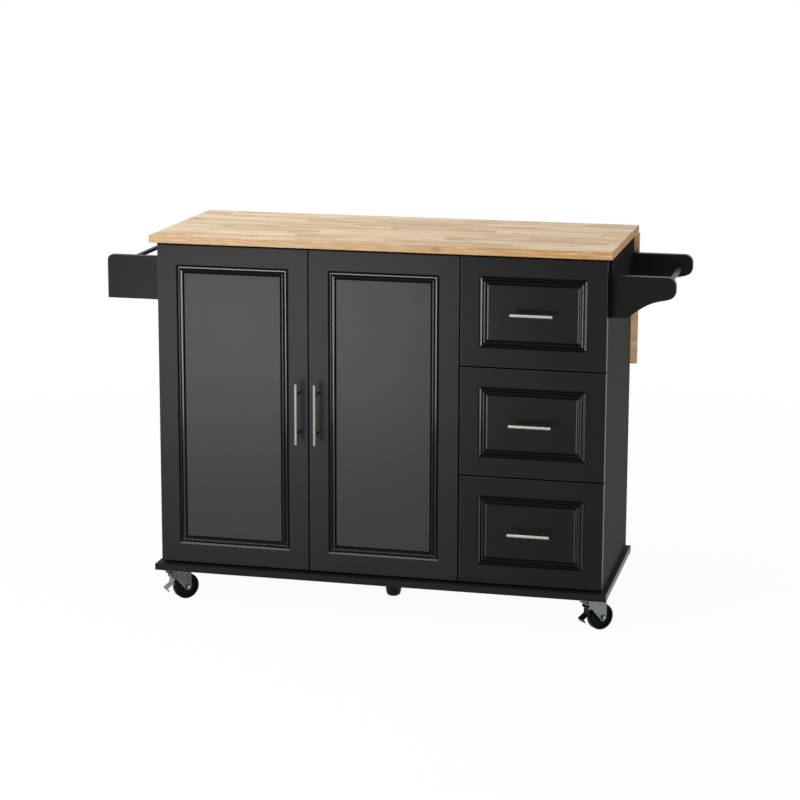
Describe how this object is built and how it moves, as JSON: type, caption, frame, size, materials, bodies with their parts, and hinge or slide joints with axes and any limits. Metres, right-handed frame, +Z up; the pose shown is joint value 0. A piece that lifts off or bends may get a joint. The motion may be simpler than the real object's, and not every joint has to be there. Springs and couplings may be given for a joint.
{
  "type": "rolling kitchen island",
  "caption": "Kitchen island on casters: black cabinet with moulded doors and drawers, wooden worktop, rear drop leaf on folding stays, spice rack and towel rack on its ends.",
  "frame": {"origin": "on the floor, under the middle of the overall box with the leaf down", "axes": "+X to the right of someone facing the doors, +Y from the doors to the leaf, +Z up"},
  "size_m": [1.38, 0.5004, 0.914],
  "materials": {
    "worktop_wood": "finger-jointed staves under a satin clear coat",
    "black_board": "satin black paint",
    "drawer_board": "matt black foil",
    "nickel": "brushed nickel",
    "rod_steel": "satin",
    "fitting_steel": "nickel plated",
    "caster_zinc": "zinc plated",
    "caster_wheel": "matt",
    "black_plastic": "moulded"
  },
  "bodies": {
    "cabinet": {"base_board": "black_board", "left_side_panel": "black_board", "right_side_panel": "black_board", "centre_divider": "black_board", "back_panel": "black_board", "top_rails": "black_board", "worktop": "worktop_wood", "adjustable_shelf": "black_board", "shelf_pins": "fitting_steel", "cabinet_runners": "fitting_steel", "towel_rack_brackets": "black_board", "towel_bar": "rod_steel", "spice_rack_ends": "black_board", "spice_rack_shelf": "black_board", "spice_rack_rail": "rod_steel", "leaf_hinge_plates": "fitting_steel", "leaf_hinge_pins": "fitting_steel", "leaf_stay_feet": "fitting_steel", "door_hinge_arms": "fitting_steel", "caster_plates": "caster_zinc", "support_foot": "black_plastic"},
    "drop_leaf": {"drop_leaf": "worktop_wood", "leaf_hinge_flaps": "fitting_steel", "leaf_stay_ears": "fitting_steel"},
    "stay_lower_bars": {"leaf_stay_lower_bars": "fitting_steel"},
    "stay_upper_bars": {"leaf_stay_upper_bars": "fitting_steel"},
    "left_door_links": {"left_door_hinge_links": "fitting_steel"},
    "left_door": {"left_door": "black_board", "left_door_handle": "nickel", "left_door_hinge_cups": "fitting_steel"},
    "right_door_links": {"right_door_hinge_links": "fitting_steel"},
    "right_door": {"right_door": "black_board", "right_door_handle": "nickel", "right_door_hinge_cups": "fitting_steel"},
    "bottom_drawer": {"bottom_drawer_front": "black_board", "bottom_drawer_handle": "nickel", "bottom_drawer_box": "drawer_board", "bottom_drawer_runners": "fitting_steel"},
    "middle_drawer": {"middle_drawer_front": "black_board", "middle_drawer_handle": "nickel", "middle_drawer_box": "drawer_board", "middle_drawer_runners": "fitting_steel"},
    "top_drawer": {"top_drawer_front": "black_board", "top_drawer_handle": "nickel", "top_drawer_box": "drawer_board", "top_drawer_runners": "fitting_steel"},
    "front_left_fork": {"front_left_caster_fork": "caster_zinc"},
    "front_left_wheel": {"front_left_caster_wheel": "caster_wheel"},
    "front_left_pedal": {"front_left_brake_pedal": "caster_zinc"},
    "front_right_fork": {"front_right_caster_fork": "caster_zinc"},
    "front_right_wheel": {"front_right_caster_wheel": "caster_wheel"},
    "front_right_pedal": {"front_right_brake_pedal": "black_plastic"},
    "rear_left_fork": {"rear_left_caster_fork": "caster_zinc"},
    "rear_left_wheel": {"rear_left_caster_wheel": "caster_wheel"},
    "rear_right_fork": {"rear_right_caster_fork": "caster_zinc"},
    "rear_right_wheel": {"rear_right_caster_wheel": "caster_wheel"}
  },
  "joints": [
    {"name": "leaf_hinge", "type": "hinge", "parent": "cabinet", "child": "drop_leaf", "pos_m": [-0.008, 0.2293, 0.8931], "axis": [1, 0, 0], "range_deg": [0, 90]},
    {"name": "stay_lower_pivot", "type": "hinge", "parent": "cabinet", "child": "stay_lower_bars", "pos_m": [-0.008, 0.2203, 0.7231], "axis": [1, 0, 0], "range_deg": [0, 135]},
    {"name": "stay_upper_pivot", "type": "hinge", "parent": "drop_leaf", "child": "stay_upper_bars", "pos_m": [-0.008, 0.2203, 0.7231], "axis": [1, 0, 0], "range_deg": [-135, 0]},
    {"name": "left_link_pivot", "type": "hinge", "parent": "cabinet", "child": "left_door_links", "pos_m": [-0.52, -0.1942, 0.496], "axis": [0, 0, 1], "range_deg": [0, 38.6]},
    {"name": "left_door_hinge", "type": "hinge", "parent": "left_door_links", "child": "left_door", "pos_m": [-0.5405, -0.2032, 0.496], "axis": [0, 0, -1], "range_deg": [0, 130]},
    {"name": "right_link_pivot", "type": "hinge", "parent": "cabinet", "child": "right_door_links", "pos_m": [0.1555, -0.1942, 0.496], "axis": [0, 0, -1], "range_deg": [0, 38.6]},
    {"name": "right_door_hinge", "type": "hinge", "parent": "right_door_links", "child": "right_door", "pos_m": [0.176, -0.2032, 0.496], "axis": [0, 0, 1], "range_deg": [0, 130]},
    {"name": "bottom_drawer_slide", "type": "slide", "parent": "cabinet", "child": "bottom_drawer", "axis": [0, -1, 0], "range_m": [0, 0.26]},
    {"name": "middle_drawer_slide", "type": "slide", "parent": "cabinet", "child": "middle_drawer", "axis": [0, -1, 0], "range_m": [0, 0.26]},
    {"name": "top_drawer_slide", "type": "slide", "parent": "cabinet", "child": "top_drawer", "axis": [0, -1, 0], "range_m": [0, 0.26]},
    {"name": "front_left_swivel", "type": "hinge", "parent": "cabinet", "child": "front_left_fork", "pos_m": [-0.525, -0.2002, 0.07], "axis": [0, 0, 1], "continuous": true},
    {"name": "front_left_roll", "type": "hinge", "parent": "front_left_fork", "child": "front_left_wheel", "pos_m": [-0.50452, -0.1811, 0.032], "axis": [-0.682, 0.7314, 0], "continuous": true},
    {"name": "front_left_brake", "type": "hinge", "parent": "front_left_fork", "child": "front_left_pedal", "pos_m": [-0.53231, -0.20702, 0.0605], "axis": [0.682, -0.7314, 0], "range_deg": [0, 12]},
    {"name": "front_right_swivel", "type": "hinge", "parent": "cabinet", "child": "front_right_fork", "pos_m": [0.509, -0.2002, 0.07], "axis": [0, 0, 1], "continuous": true},
    {"name": "front_right_roll", "type": "hinge", "parent": "front_right_fork", "child": "front_right_wheel", "pos_m": [0.52948, -0.1811, 0.032], "axis": [-0.682, 0.7314, 0], "continuous": true},
    {"name": "front_right_brake", "type": "hinge", "parent": "front_right_fork", "child": "front_right_pedal", "pos_m": [0.50169, -0.20702, 0.0605], "axis": [0.682, -0.7314, 0], "range_deg": [0, 12]},
    {"name": "rear_left_swivel", "type": "hinge", "parent": "cabinet", "child": "rear_left_fork", "pos_m": [-0.525, 0.1768, 0.07], "axis": [0, 0, 1], "continuous": true},
    {"name": "rear_left_roll", "type": "hinge", "parent": "rear_left_fork", "child": "rear_left_wheel", "pos_m": [-0.54925, 0.1908, 0.032], "axis": [-0.5, -0.866, 0], "continuous": true},
    {"name": "rear_right_swivel", "type": "hinge", "parent": "cabinet", "child": "rear_right_fork", "pos_m": [0.509, 0.1768, 0.07], "axis": [0, 0, 1], "continuous": true},
    {"name": "rear_right_roll", "type": "hinge", "parent": "rear_right_fork", "child": "rear_right_wheel", "pos_m": [0.48362, 0.16497, 0.032], "axis": [0.4226, -0.9063, 0], "continuous": true}
  ],
  "couplings": [
    {"joint": "stay_lower_pivot", "follows": "leaf_hinge", "ratio": 1.5},
    {"joint": "stay_upper_pivot", "follows": "leaf_hinge", "ratio": -1.5},
    {"joint": "left_link_pivot", "follows": "left_door_hinge", "ratio": 0.2963},
    {"joint": "right_link_pivot", "follows": "right_door_hinge", "ratio": 0.2963}
  ]
}
